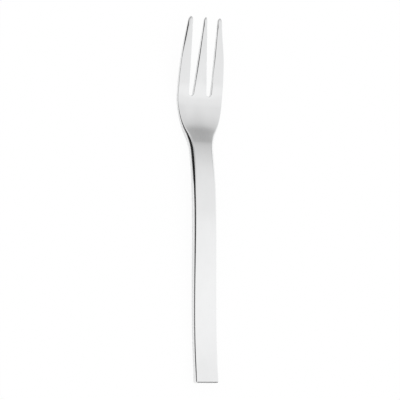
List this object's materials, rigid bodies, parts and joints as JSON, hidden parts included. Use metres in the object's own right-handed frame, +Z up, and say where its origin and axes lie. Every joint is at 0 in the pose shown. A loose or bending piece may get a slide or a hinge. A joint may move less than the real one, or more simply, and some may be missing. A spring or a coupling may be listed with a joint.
{
  "type": "fish fork",
  "caption": "Fish fork in mirror-polished stainless steel, with a bowed flat bar handle, rounded edges, a dished spreading palm and slim tapering tines for lifting flakes of fish.",
  "frame": {"origin": "on the table under the middle of the fork's box, where it lies on its back on its palm and its handle", "axes": "+Z up from the table, +Y along the fork from the butt to the tips of the tines, +X across it to the right"},
  "size_m": [0.0248, 0.18, 0.011],
  "materials": {
    "steel": "mirror-polished stainless steel, not plated"
  },
  "bodies": {
    "root": {"handle": "steel", "neck": "steel", "palm": "steel", "left_tine": "steel", "middle_tine": "steel", "right_tine": "steel"}
  },
  "joints": []
}
